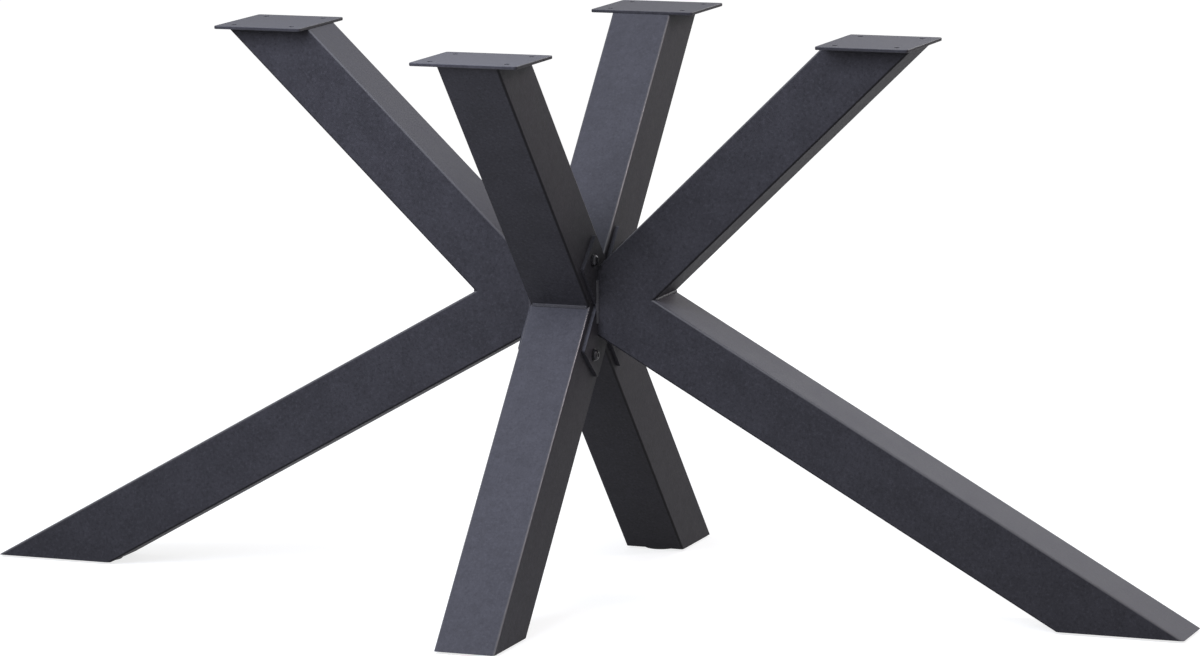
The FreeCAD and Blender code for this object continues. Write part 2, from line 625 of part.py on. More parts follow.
def check(bodies):
    """Stop if any object failed or any body has no valid solid."""
    for item in doc.Objects:
        if "Invalid" in item.State or "Error" in item.State:
            raise RuntimeError(f"{item.Name}: {item.State}")
    for body in bodies:
        if body.Shape.isNull() or not body.Shape.isValid() or not body.Shape.Solids:
            raise RuntimeError(f"{body.Name} has no valid solid")


parts = build()
doc.recompute()
check(parts)
os.makedirs("parts", exist_ok=True)
for part in parts:
    part.Shape.exportStep(f"parts/{part.Label}.step")
    box = part.Shape.BoundBox
    print(f"{part.Label}: {len(part.Shape.Solids)} solids, {part.Shape.Volume / 1000:.2f} cm3, "
          f"x {box.XMin:.1f} {box.XMax:.1f}, y {box.YMin:.1f} {box.YMax:.1f}, "
          f"z {box.ZMin:.1f} {box.ZMax:.1f}")
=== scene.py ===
"""Four star table base: coats, weld beads, fasteners, glides and a plain studio.

Lengths are in metres and Z points up. X runs from the left foot to the right foot, Y from the
front foot to the rear foot, and the origin is on the floor under the centre of the cross.
"""
from math import cos, pi, radians, sin
from random import Random

import bpy
from bpy.props import FloatProperty, FloatVectorProperty, IntProperty, PointerProperty
from bpy.types import Operator, Panel, PropertyGroup
from mathutils import Matrix, Quaternion, Vector


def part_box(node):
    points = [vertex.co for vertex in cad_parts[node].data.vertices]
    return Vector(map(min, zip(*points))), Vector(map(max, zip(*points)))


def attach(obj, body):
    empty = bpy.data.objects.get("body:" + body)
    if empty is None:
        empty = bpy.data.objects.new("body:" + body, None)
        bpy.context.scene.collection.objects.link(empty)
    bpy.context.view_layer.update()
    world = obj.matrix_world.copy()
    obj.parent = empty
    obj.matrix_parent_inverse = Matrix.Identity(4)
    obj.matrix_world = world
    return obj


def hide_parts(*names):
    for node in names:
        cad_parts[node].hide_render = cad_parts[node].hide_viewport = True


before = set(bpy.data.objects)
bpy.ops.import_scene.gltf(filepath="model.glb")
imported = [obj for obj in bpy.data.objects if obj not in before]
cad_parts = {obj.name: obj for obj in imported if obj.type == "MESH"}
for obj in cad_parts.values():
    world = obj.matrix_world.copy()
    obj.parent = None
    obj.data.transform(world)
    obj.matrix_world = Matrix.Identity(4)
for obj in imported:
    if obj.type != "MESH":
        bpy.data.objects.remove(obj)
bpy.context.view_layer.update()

bl_info = {
    "name": "Four Star Table Base",
    "version": (1, 0, 0),
    "blender": (4, 5, 0),
    "location": "3D View > Sidebar > Table Base",
    "description": "Dresses the solids of a welded table base and sets it in a plain studio",
    "category": "Object",
}

# Turn about Z that points a leg's own X axis outward.
HEADINGS = {"right": 0.0, "rear": pi / 2, "left": pi, "front": -pi / 2}
SIDES = (1, -1)
UP = Vector((0, 0, 1))
ORIGIN = Vector((0, 0, 0))

# Gloss of a worn coat, and the specular level of the coat itself.
GLOSS_ROUGHNESS = 0.28
GLOSS_IOR = 1.9
COAT_SPECULAR = 0.12

# By the thickness axis of a plate: how the lines of its cut stretch, and how much its edges are
# rubbed lighter, which also paints a highlight along them.
PLATE_EDGES = {"X": ((0.03, 1, 1), 0.9), "Z": ((1, 1, 0.03), 0.25)}

# Section of a bead: its middle and half depth, as shares of its reach out of the corner, and its
# half width, as a share of the spread of its leg.
BEAD_HEART, BEAD_DEPTH, BEAD_WIDTH = 0.3, 0.65, 1.2
# One ripple of a bead: shares of its length, each with the width at its end.
BEAD_RIPPLE = ((0.30, 1.01), (0.45, 1.0), (0.25, 0.95))
BEAD_SWELL = (0.97, 1.03)
BEAD_END = 0.5
BEAD_SEED = 11

# Points around the turned pieces, and how soft their edges are.
FASTENER_AROUND = 48
GLIDE_AROUND = 64
BOLT_TIP = 0.001
BOLT_EDGE = 0.00018
WASHER_EDGE = 0.0002

# Edges that turn less than this are shaded smooth.
BEAD_SMOOTH = radians(50)
FASTENER_SMOOTH = radians(35)
GLIDE_SMOOTH = radians(40)

# Degrees by which each bolt's socket is turned from the bolt before.
SOCKET_TURN = 17

SENSOR_WIDTH = 36


# Sizes and colours a user may change.

class FrameForm(PropertyGroup):
    """Sizes of the welded frame, as its solids have them."""
    tube_size: FloatProperty(
        name="Tube size", description="Outer width of the square tube",
        default=0.080, min=0.02, unit="LENGTH")
    tube_corner: FloatProperty(
        name="Tube corner", description="Outer corner radius of the square tube",
        default=0.003, min=0.001, unit="LENGTH")
    cross_slope: FloatProperty(
        name="Cross slope", description="Slope of the crossed front and rear tubes",
        default=radians(48.7), subtype="ANGLE")
    cross_height: FloatProperty(
        name="Cross height", description="Floor to the centre of the cross",
        default=0.379, min=0.1, unit="LENGTH")
    lower_slope: FloatProperty(
        name="Lower slope", description="Slope of the lower leg of a side frame",
        default=radians(29.4), subtype="ANGLE")
    upper_slope: FloatProperty(
        name="Upper slope", description="Slope of the upper arm of a side frame",
        default=radians(43.9), subtype="ANGLE")
    notch_reach: FloatProperty(
        name="Notch reach", description="Centre to the notch of a side frame",
        default=0.121, min=0.05, unit="LENGTH")
    notch_rise: FloatProperty(
        name="Notch rise", description="Centre of the cross up to the notch of a side frame",
        default=0.011, unit="LENGTH")


class CoatLook(PropertyGroup):
    """Powder coat of the tubes, plates and welds."""
    colour: FloatVectorProperty(
        name="Coat colour", description="Paint of the whole frame",
        default=(0.0305, 0.0292, 0.0335), min=0, max=1, subtype="COLOR")
    dust_and_top_light_colour: FloatVectorProperty(
        name="Dust colour", description="Fine dust on faces that look up",
        default=(0.30, 0.30, 0.34), min=0, max=1, subtype="COLOR")
    dust_and_top_light: FloatProperty(
        name="Dust and top light", description="Share of dust on faces that look up",
        default=0.15, min=0, max=1, subtype="FACTOR")
    burnish_and_highlight: FloatProperty(
        name="Burnish and highlight", description="How much lighter the coat is where it is worn",
        default=0.4, min=0, max=2, subtype="FACTOR")
    polish: FloatProperty(
        name="Polish", description="Gloss that handling gives the corners that look up",
        default=0.7, min=0, max=1, subtype="FACTOR")
    under_shade_depth: FloatProperty(
        name="Under shade", description="How dark the coat is along the corners that look down",
        default=0.75, min=0, max=1, subtype="FACTOR")
    roughness: FloatProperty(
        name="Roughness", description="Mean roughness of the coat",
        default=0.62, min=0, max=1, subtype="FACTOR")
    grain_size: FloatProperty(
        name="Grain size", description="Width of one pebble of the coat",
        default=0.0035, min=0.0001, unit="LENGTH")
    grain_depth: FloatProperty(
        name="Grain depth", description="Height of the pebbles of the coat",
        default=0.00008, min=0, unit="LENGTH")
    mottle_size: FloatProperty(
        name="Mottle size", description="Width of a cloud in the coat",
        default=0.045, min=0.005, unit="LENGTH")


class WeldForm(PropertyGroup):
    """Rippled fillet welds."""
    leg: FloatProperty(
        name="Weld leg", description="Leg of a fillet weld",
        default=0.0036, min=0.001, unit="LENGTH")
    crest: FloatProperty(
        name="Weld crest", description="Rise of a bead over its chord",
        default=0.0003, min=0, unit="LENGTH")
    ripple: FloatProperty(
        name="Ripple", description="Length of one ripple of a bead",
        default=0.0026, min=0.0005, unit="LENGTH")
    around: IntProperty(
        name="Points around", description="Points around the section of a bead",
        default=20, min=8)


class FastenerForm(PropertyGroup):
    """Domed socket bolts and plain washers."""
    bolt_diameter: FloatProperty(
        name="Bolt diameter", description="Shank of a flange bolt",
        default=0.008, min=0.002, unit="LENGTH")
    bolt_length: FloatProperty(
        name="Bolt length", description="Flange bolt under its head",
        default=0.016, min=0.004, unit="LENGTH")
    head_diameter: FloatProperty(
        name="Head diameter", description="Domed bolt head",
        default=0.014, min=0.004, unit="LENGTH")
    head_height: FloatProperty(
        name="Head height", description="Domed bolt head",
        default=0.0044, min=0.001, unit="LENGTH")
    head_rim: FloatProperty(
        name="Head rim", description="Straight rim under the dome",
        default=0.0008, min=0.0002, unit="LENGTH")
    head_flat: FloatProperty(
        name="Head flat", description="Flat on top of the dome",
        default=0.0072, min=0.001, unit="LENGTH")
    socket: FloatProperty(
        name="Socket", description="Hex socket across flats",
        default=0.005, min=0.001, unit="LENGTH")
    socket_depth: FloatProperty(
        name="Socket depth", description="Depth of the hex socket",
        default=0.0026, min=0.0005, unit="LENGTH")
    washer_hole: FloatProperty(
        name="Washer hole", description="Bore of the plain washer",
        default=0.0084, min=0.002, unit="LENGTH")
    steel: FloatVectorProperty(
        name="Blackened steel", description="Colour of the bolts and washers",
        default=(0.030, 0.029, 0.032), min=0, max=1, subtype="COLOR")
    zinc: FloatVectorProperty(
        name="Zinc plate", description="Colour of the studs and weld nuts",
        default=(0.58, 0.60, 0.63), min=0, max=1, subtype="COLOR")


class GlideForm(PropertyGroup):
    """Moulded glides under the feet."""
    edge: FloatProperty(
        name="Glide edge", description="Rounded lower edge of a glide",
        default=0.001, min=0.0002, unit="LENGTH")
    rim: FloatProperty(
        name="Glide rim", description="Rounded upper edge of a glide",
        default=0.0003, min=0.0001, unit="LENGTH")
    recess: FloatProperty(
        name="Recess", description="Recess for the head of the stud",
        default=0.0164, min=0.002, unit="LENGTH")
    recess_depth: FloatProperty(
        name="Recess depth", description="Depth of the recess for the head of the stud",
        default=0.0015, min=0.0002, unit="LENGTH")
    colour: FloatVectorProperty(
        name="Glide colour", description="Moulded plastic of the glides",
        default=(0.045, 0.045, 0.048), min=0, max=1, subtype="COLOR")


class StudioForm(PropertyGroup):
    """Floor, lights and camera."""
    floor_size: FloatProperty(
        name="Floor size", description="Side of the square floor",
        default=120.0, min=5, unit="LENGTH")
    floor_colour: FloatVectorProperty(
        name="Floor colour", description="Pale floor",
        default=(0.36, 0.36, 0.36), min=0, max=1, subtype="COLOR")
    floor_glow: FloatProperty(
        name="Floor glow", description="White that pictures and reflections add to the floor",
        default=0.60, min=0, max=1, subtype="FACTOR")
    picture_glow: FloatProperty(
        name="Picture glow", description="White that the picture alone adds to the floor",
        default=0.34, min=0, max=1, subtype="FACTOR")
    picture_dip: FloatProperty(
        name="Picture dip", description="White held back round the object, where its shadow lies",
        default=0.15, min=0, max=1, subtype="FACTOR")
    sky: FloatProperty(
        name="Sky", description="Strength of the light that comes from all round",
        default=0.25, min=0)
    softbox_power: FloatProperty(
        name="Softbox power", description="Power of the lamp over the object",
        default=17, min=0, unit="POWER")
    softbox_size: FloatProperty(
        name="Softbox size", description="Side of the lamp over the object",
        default=2.4, min=0.1, unit="LENGTH")
    softbox_colour: FloatVectorProperty(
        name="Softbox colour", description="Colour of the lamp over the object",
        default=(0.78, 0.88, 1.0), min=0, max=1, subtype="COLOR")
    softbox_place: FloatVectorProperty(
        name="Softbox place", description="Middle of the lamp over the object",
        default=(-0.2, -0.7, 2.3), subtype="TRANSLATION")
    fill_power: FloatProperty(
        name="Fill power", description="Power of the lamp in front of the object",
        default=45, min=0, unit="POWER")
    fill_size: FloatProperty(
        name="Fill size", description="Side of the lamp in front of the object",
        default=1.1, min=0.1, unit="LENGTH")
    fill_colour: FloatVectorProperty(
        name="Fill colour", description="Colour of the lamp in front of the object",
        default=(0.80, 0.85, 1.0), min=0, max=1, subtype="COLOR")
    fill_place: FloatVectorProperty(
        name="Fill place", description="Middle of the lamp in front of the object",
        default=(-0.42, -1.3, 1.35), subtype="TRANSLATION")
    rim_power: FloatProperty(
        name="Rim power", description="Power of the lamp behind the object",
        default=28, min=0, unit="POWER")
    rim_size: FloatProperty(
        name="Rim size", description="Side of the lamp behind the object",
        default=1.8, min=0.1, unit="LENGTH")
    rim_colour: FloatVectorProperty(
        name="Rim colour", description="Colour of the lamp behind the object",
        default=(0.97, 0.98, 1.0), min=0, max=1, subtype="COLOR")
    rim_place: FloatVectorProperty(
        name="Rim place", description="Middle of the lamp behind the object",
        default=(0.75, 2.7, 1.5), subtype="TRANSLATION")
    side_power: FloatProperty(
        name="Side power", description="Power of the small lamp to the right of the object",
        default=24, min=0, unit="POWER")
    side_size: FloatProperty(
        name="Side size", description="Side of the small lamp to the right of the object",
        default=0.5, min=0.1, unit="LENGTH")
    side_colour: FloatVectorProperty(
        name="Side colour", description="Colour of the small lamp to the right of the object",
        default=(1.0, 0.86, 0.91), min=0, max=1, subtype="COLOR")
    side_place: FloatVectorProperty(
        name="Side place", description="Middle of the small lamp to the right of the object",
        default=(2.4, 0.2, 2.1), subtype="TRANSLATION")
    camera_place: FloatVectorProperty(
        name="Camera place", description="Where the picture is taken from",
        default=(2.5307, -6.4342, 1.5108), subtype="TRANSLATION")
    camera_yaw: FloatProperty(
        name="Camera yaw", description="Turn of the view to the left of the rear leg",
        default=radians(21.2155), subtype="ANGLE")
    camera_pitch: FloatProperty(
        name="Camera pitch", description="How far the camera looks down",
        default=radians(9.595), subtype="ANGLE")
    camera_roll: FloatProperty(
        name="Camera roll", description="Lean of the camera about its view",
        default=radians(-0.565), subtype="ANGLE")
    lens: FloatProperty(
        name="Lens", description="Focal length of the camera",
        default=166.0, min=10, unit="CAMERA")


# Shader maths.

class Wire:
    """Output of a shader node, on which arithmetic adds Math nodes."""

    def __init__(self, finish, socket):
        self.finish = finish
        self.socket = socket

    def _math(self, operation, first, second=None):
        terms = {0: first} if second is None else {0: first, 1: second}
        return self.finish.node("ShaderNodeMath", {"operation": operation}, terms)

    def __add__(self, other):
        return self._math("ADD", self, other)

    __radd__ = __add__

    def __sub__(self, other):
        return self._math("SUBTRACT", self, other)

    def __rsub__(self, other):
        return self._math("SUBTRACT", other, self)

    def __mul__(self, other):
        return self._math("MULTIPLY", self, other)

    __rmul__ = __mul__

    def __abs__(self):
        return self._math("ABSOLUTE", self)

    def smaller(self, other):
        """The lesser of two values."""
        return self._math("MINIMUM", self, other)

    def larger(self, other):
        """The greater of two values."""
        return self._math("MAXIMUM", self, other)

    def over(self, low, high):
        """Smooth step from 0 below low to 1 above high."""
        return self.finish.node(
            "ShaderNodeMapRange", {"interpolation_type": "SMOOTHSTEP"},
            {"Value": self, "From Min": low, "From Max": high})


class Finish:
    """Nodes of one material, or of the sky."""

    def __init__(self, name, kind="materials"):
        self.owner = getattr(bpy.data, kind).new(name)
        self.owner.use_nodes = True
        self.tree = self.owner.node_tree
        self.tree.nodes.clear()
        self.place = self.node("ShaderNodeTexCoord", output="Object")

    def node(self, kind, settings=None, inputs=None, output=0):
        """Add a node, set it up, give its sockets their values or links, and return one output."""
        node = self.tree.nodes.new(kind)
        for name, value in (settings or {}).items():
            setattr(node, name, value)
        for name, value in (inputs or {}).items():
            if isinstance(value, Wire):
                self.tree.links.new(value.socket, node.inputs[name])
            else:
                node.inputs[name].default_value = value
        return Wire(self, node.outputs[output]) if node.outputs else node

    def stretched(self, place, stretch):
        """Coordinates multiplied along each axis."""
        return self.node("ShaderNodeVectorMath", {"operation": "MULTIPLY"}, {0: place, 1: stretch})

    def axis(self, vector, name):
        """One component of a vector."""
        return self.node("ShaderNodeSeparateXYZ", None, {0: vector}, name)

    def noise(self, place, size, detail=2.0, roughness=0.5):
        """Clouds of about one size, round 0.5."""
        return self.node("ShaderNodeTexNoise", {"noise_dimensions": "3D"},
                         {"Vector": place, "Scale": 1 / size, "Detail": detail,
                          "Roughness": roughness})

    def cells(self, place, size, output="Distance"):
        """Cells of about one size."""
        return self.node("ShaderNodeTexVoronoi", {"feature": "F1"},
                         {"Vector": place, "Scale": 1 / size}, output)

    def blend(self, share, first, second):
        """Colour between two colours."""
        return self.node("ShaderNodeMix", {"data_type": "RGBA"},
                         {0: share, 6: first, 7: second}, 2)

    def facing(self, name):
        """One component of the surface normal."""
        normal = self.node("ShaderNodeNewGeometry", output="Normal")
        return self.axis(normal, name)

    def bump(self, height, depth, normal=None):
        """Surface normal that a height of 0 to 1 tips."""
        inputs = {"Height": height, "Distance": depth, "Strength": 1.0}
        if normal is not None:
            inputs["Normal"] = normal
        return self.node("ShaderNodeBump", None, inputs)

    def surface(self, colour, roughness, normal, metallic=0.0, specular=0.5, gloss=0.0,
                glow=None):
        """Close the material with its one shader, and return the material."""
        inputs = {"Base Color": colour, "Roughness": roughness, "Normal": normal,
                  "Metallic": metallic, "Specular IOR Level": specular,
                  "Coat Weight": gloss, "Coat Roughness": GLOSS_ROUGHNESS,
                  "Coat IOR": GLOSS_IOR}
        if glow is not None:
            inputs["Emission Color"] = self.blend(glow, (0, 0, 0, 1), (1, 1, 1, 1))
            inputs["Emission Strength"] = 1.0
        shader = self.node("ShaderNodeBsdfPrincipled", None, inputs)
        self.node("ShaderNodeOutputMaterial", None, {"Surface": shader})
        return self.owner


def shade(colour, factor):
    """Opaque colour made lighter or darker."""
    return (*(min(channel * factor, 1.0) for channel in colour), 1.0)


def powder_coat(finish, worn_and_highlit=None, under_shade=None, cut=None):
    """Fine sand powder coat over the lines of a cut: glossy and lighter along rubbed edges, partly
    a painted highlight, and painted shade along the corners given for it.
    """
    coat = bpy.context.scene.coat_look
    place = finish.place
    mottle = finish.noise(place, size=coat.mottle_size, detail=3.0)
    smudge = finish.noise(place, size=coat.mottle_size / 4, detail=4.0, roughness=0.6)
    grain = finish.noise(place, size=coat.grain_size, detail=4.0, roughness=0.7)
    cloudy, peaks, pits = mottle.over(0.3, 0.7), grain.over(0.52, 0.70), grain.over(0.50, 0.30)
    colour = finish.blend(cloudy, shade(coat.colour, 0.90), shade(coat.colour, 1.10))
    colour = finish.blend(0.60 * peaks, colour, shade(coat.colour, 1.6))
    colour = finish.blend(0.60 * pits, colour, shade(coat.colour, 0.5))
    # Faces that look up are painted lighter and bluer: partly settled dust, partly painted top
    # light.
    dust_and_top_light = finish.facing("Z").over(0.35, 0.95) * (0.6 + 0.8 * smudge) * coat.dust_and_top_light
    colour = finish.blend(dust_and_top_light, colour, shade(coat.dust_and_top_light_colour, 1.0))
    roughness = (coat.roughness + 0.10 * (mottle - 0.5) + 0.14 * (smudge - 0.5)
                 + 0.10 * (grain - 0.5))
    gloss = 0.0
    if worn_and_highlit is not None:
        worn_and_highlit = worn_and_highlit * (0.6 + 0.4 * smudge)
        # Painted highlight: where this mask is set the coat is painted lighter, partly as rubbing
        # and partly standing in for the bright lines that light draws along edges.
        colour = finish.blend(worn_and_highlit, colour, shade(coat.colour, 1 + coat.burnish_and_highlight))
        gloss = worn_and_highlit * coat.polish
    if under_shade is not None:
        # Painted shade: the coat is painted near black along the corners that look down, standing
        # in for the shade and dark reflections there.
        colour = finish.blend(under_shade * coat.under_shade_depth, colour, shade(coat.colour, 0.1))
    normal = finish.bump(mottle, depth=0.00025)
    if cut is not None:
        normal = finish.bump(cut, depth=0.00012, normal=normal)
    normal = finish.bump(grain, depth=coat.grain_depth, normal=normal)
    return finish.surface(colour, roughness, normal, specular=COAT_SPECULAR, gloss=gloss)


def tube_coat(name, point, slope, heading):
    """Coat of one square tube, in the tube's own axes: faint drawn lines, corners that look up
    rubbed and painted lighter as a highlight, and painted shade along corners that look down.
    """
    form = bpy.context.scene.frame_form
    finish = Finish(name)
    along = finish.node(
        "ShaderNodeMapping", {"vector_type": "TEXTURE"},
        {"Vector": finish.place, "Location": point, "Rotation": (0, -slope, heading)})
    half = form.tube_size / 2
    corner = abs(finish.axis(along, "Y")).smaller(abs(finish.axis(along, "Z")))
    edge = corner.over(half - form.tube_corner, half - 0.4 * form.tube_corner)
    drawn = finish.noise(finish.stretched(along, (0.01, 1, 1)), size=0.0022, detail=3.0)
    # Split the corners by the way they face: painted highlight on those that look up, painted shade
    # on those that look down.
    above = finish.facing("Z").over(-0.10, 0.20)
    return powder_coat(finish, worn_and_highlit=edge * above, under_shade=edge * (1 - above), cut=drawn)


def plate_coat(name, thickness_axis):
    """Coat of a cut plate: rubbed lighter round its faces, partly as a painted highlight, and the
    cut's lines show through on its edges.
    """
    finish = Finish(name)
    stretch, edge_wear_and_highlight = PLATE_EDGES[thickness_axis]
    turned = abs(finish.facing(thickness_axis))
    on_edge = turned.over(0.6, 0.2)
    broken = turned.over(0.2, 0.5) * turned.over(0.97, 0.85)
    lines = finish.noise(finish.stretched(finish.place, stretch), size=0.0011, detail=2.0)
    # Painted highlight: the broken edges are painted lighter, partly rubbing and partly the bright
    # lines that light draws along them.
    return powder_coat(finish, worn_and_highlit=broken * edge_wear_and_highlight, cut=lines * on_edge)


def weld_coat():
    """Coat over weld metal: the same paint, a little glossier and painted a little lighter as a
    sheen, most of all on the spatter.
    """
    finish = Finish("coat_on_weld")
    spatter = finish.cells(finish.place, size=0.0018).over(0.35, 0.15)
    # Painted sheen: the beads are painted a little lighter along with their gloss, most of all on
    # the spatter.
    return powder_coat(finish, worn_and_highlit=0.30 + 0.3 * spatter, cut=spatter)


def blackened_steel():
    """Blackened bolt steel with a slight oil film and turning marks."""
    steel = bpy.context.scene.fastener_form.steel
    finish = Finish("blackened_steel")
    film = finish.noise(finish.place, size=0.004, detail=3.0)
    marks = finish.noise(finish.stretched(finish.place, (1, 0.15, 0.15)), size=0.0003, detail=2.0)
    colour = finish.blend(film.over(0.3, 0.7), shade(steel, 0.8), shade(steel, 1.3))
    roughness = 0.36 + 0.18 * (film - 0.5) + 0.16 * (marks - 0.5)
    normal = finish.bump(marks, depth=0.000012)
    return finish.surface(colour, roughness, normal, metallic=0.85)


def zinc_plate():
    """Bright zinc with faint spangle."""
    zinc = bpy.context.scene.fastener_form.zinc
    finish = Finish("zinc_plate")
    spangle = finish.cells(finish.place, size=0.0016)
    haze = finish.noise(finish.place, size=0.006, detail=3.0)
    colour = finish.blend(haze, shade(zinc, 0.85), shade(zinc, 1.1))
    roughness = 0.30 + 0.14 * (haze - 0.5) + 0.08 * spangle
    normal = finish.bump(spangle, depth=0.00001)
    return finish.surface(colour, roughness, normal, metallic=1.0)


def moulded_plastic():
    """Matt moulded plastic with a spark-eroded skin and scuffs."""
    plastic = bpy.context.scene.glide_form.colour
    finish = Finish("moulded_plastic")
    skin = finish.noise(finish.place, size=0.0005, detail=2.0, roughness=0.7)
    scuff = finish.noise(finish.stretched(finish.place, (1, 0.2, 1)), size=0.003, detail=3.0)
    scuffed, pits = scuff.over(0.55, 0.75), skin.over(0.5, 0.3)
    colour = finish.blend(0.5 * scuffed, shade(plastic, 0.95), shade(plastic, 1.5))
    colour = finish.blend(0.3 * pits, colour, shade(plastic, 0.6))
    roughness = 0.55 + 0.15 * (skin - 0.5) + 0.10 * (scuff - 0.5)
    normal = finish.bump(skin, depth=0.00003)
    return finish.surface(colour, roughness, normal)


def seen_rays(finish):
    """1 for the rays that show a surface in the picture, a mirror or glass, and 0 for light."""
    rays = [finish.node("ShaderNodeLightPath", output=kind)
            for kind in ("Is Camera Ray", "Is Glossy Ray", "Is Transmission Ray")]
    return rays[0].larger(rays[1]).larger(rays[2])


def floor_paint():
    """Pale matt floor with the faintest unevenness, white in the picture beyond the object."""
    studio = bpy.context.scene.studio_form
    finish = Finish("floor_paint")
    cloud = finish.noise(finish.place, size=0.8, detail=2.0)
    colour = finish.blend(cloud, shade(studio.floor_colour, 0.998),
                          shade(studio.floor_colour, 1.002))
    distance = finish.node("ShaderNodeVectorMath", {"operation": "LENGTH"}, {0: finish.place},
                           "Value")
    near = 1 - distance.over(0.9, 2.6)
    pictured = finish.node("ShaderNodeLightPath", output="Is Camera Ray")
    glow = (seen_rays(finish) * studio.floor_glow
            + pictured * (studio.picture_glow - studio.picture_dip * near))
    normal = finish.bump(cloud, depth=0.0001)
    return finish.surface(colour, 0.9, normal, specular=0.0, glow=glow)


def give(names, material):
    """Give CAD nodes a material in their own slots."""
    for name in names:
        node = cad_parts[name]
        if not node.material_slots:
            node.data.materials.append(material)
        for slot in node.material_slots:
            slot.material = material


# Modelling helpers. A piece is modelled about the origin with its own axis on Z.

def deselect():
    """Leave nothing selected, so that an operator acts on the new piece alone."""
    if bpy.context.object and bpy.context.object.mode != "OBJECT":
        bpy.ops.object.mode_set(mode="OBJECT")
    bpy.ops.object.select_all(action="DESELECT")


def ring(name, radius, around, height=0.0, fill="NGON"):
    """Flat ring square to Z, in edit mode, the start of a turned or run shape."""
    deselect()
    bpy.ops.mesh.primitive_circle_add(vertices=around, radius=radius, fill_type=fill,
                                      location=(0, 0, height))
    piece = bpy.context.object
    piece.name = piece.data.name = name
    bpy.ops.object.transform_apply(location=True, rotation=True, scale=True)
    bpy.ops.object.mode_set(mode="EDIT")
    bpy.ops.mesh.select_all(action="SELECT")
    return piece


def grow(rise, scale, centre):
    """Extrude the selection along Z, and scale its new end about a point."""
    bpy.ops.mesh.extrude_region_move(TRANSFORM_OT_translate={"value": (0, 0, rise)})
    bpy.ops.transform.resize(value=(scale, scale, 1), center_override=centre)


def turn(name, outline, around, fill="NGON"):
    """Piece turned about Z through the radii and heights of its outline."""
    (radius, height), *rest = outline
    piece = ring(name, radius, around, height, fill)
    for next_radius, next_height in rest:
        grow(next_height - height, next_radius / radius, (0, 0, next_height))
        radius, height = next_radius, next_height
    return piece


def quarter_round(radius, height, edge, start, steps=4):
    """Radii and heights of a quarter round whose centre is at a radius and height."""
    turns = (start + step * pi / 2 / steps for step in range(steps + 1))
    return [(radius + edge * cos(angle), height + edge * sin(angle)) for angle in turns]


def close(piece, smooth_below):
    """Weld the points of a piece, face it outward and shade its soft edges smooth."""
    bpy.ops.mesh.select_all(action="SELECT")
    bpy.ops.mesh.remove_doubles(threshold=1e-6)
    bpy.ops.mesh.normals_make_consistent(inside=False)
    bpy.ops.object.mode_set(mode="OBJECT")
    bpy.ops.object.shade_smooth_by_angle(angle=smooth_below)
    return piece


def soften(piece, width):
    """Bevel the sharp edges of a piece."""
    bevel = piece.modifiers.new("soft_edges", "BEVEL")
    bevel.width = width
    bevel.segments = 2
    bevel.limit_method = "ANGLE"
    bevel.angle_limit = radians(40)
    bpy.ops.object.modifier_apply(modifier=bevel.name)


def lay(outward, along):
    """Turn that points a piece's own X outward and its own Z along."""
    outward = outward.normalized()
    return Matrix((outward, along.cross(outward), along)).transposed().to_quaternion()


def set_out(pattern, name, stations):
    """Copy a pattern piece to its stations, each copy with its own mesh, as one piece."""
    deselect()
    copies = []
    for place, turned in stations:
        copy = pattern.copy()
        copy.data = pattern.data.copy()
        bpy.context.collection.objects.link(copy)
        copy.matrix_world = Matrix.LocRotScale(place, turned, None)
        copy.select_set(True)
        copies.append(copy)
    bpy.data.objects.remove(pattern)
    group = copies[0]
    bpy.context.view_layer.objects.active = group
    if len(copies) > 1:
        bpy.ops.object.join()
    bpy.ops.object.transform_apply(location=True, rotation=True, scale=True)
    group.name = group.data.name = name
    return group


def stand_in(piece, material, slot, *nodes):
    """Finish a piece that stands for CAD nodes."""
    piece.data.materials.clear()
    piece.data.materials.append(material)
    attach(piece, "root")
    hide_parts(*nodes)


# Operators, one for each group of like pieces.

class TABLEBASE_OT_coat_tubes(Operator):
    """Coat each square tube in its own axes"""
    bl_idname = "tablebase.coat_tubes"
    bl_label = "Coat the tubes"

    def execute(self, context):
        form = context.scene.frame_form
        centre = (0, 0, form.cross_height)
        for name, heading, slope in (("cross_main_tube", "rear", form.cross_slope),
                                     ("cross_front_arm", "front", form.cross_slope),
                                     ("cross_rear_leg", "rear", -form.cross_slope)):
            give([name], tube_coat(f"coat_{name}", centre, slope, HEADINGS[heading]))
        notch_height = form.cross_height + form.notch_rise
        half = form.tube_size / 2
        for side, sign in (("right", 1), ("left", -1)):
            for level, slope, lift in (("upper_arm", form.upper_slope, half),
                                       ("lower_leg", -form.lower_slope, -half)):
                point = (sign * (form.notch_reach - lift * sin(slope)), 0,
                         notch_height + lift * cos(slope))
                name = f"{side}_{level}"
                give([name], tube_coat(f"coat_{name}", point, slope, HEADINGS[side]))
        return {"FINISHED"}


class TABLEBASE_OT_coat_plates(Operator):
    """Coat the top plates, the flanges and the plates in the feet"""
    bl_idname = "tablebase.coat_plates"
    bl_label = "Coat the plates"

    def execute(self, context):
        flat = [f"{side}_{kind}" for side in HEADINGS for kind in ("top_plate", "foot_plate")]
        give(flat, plate_coat("coat_flat_plate", "Z"))
        give(["left_flange", "right_flange"], plate_coat("coat_flange", "X"))
        return {"FINISHED"}


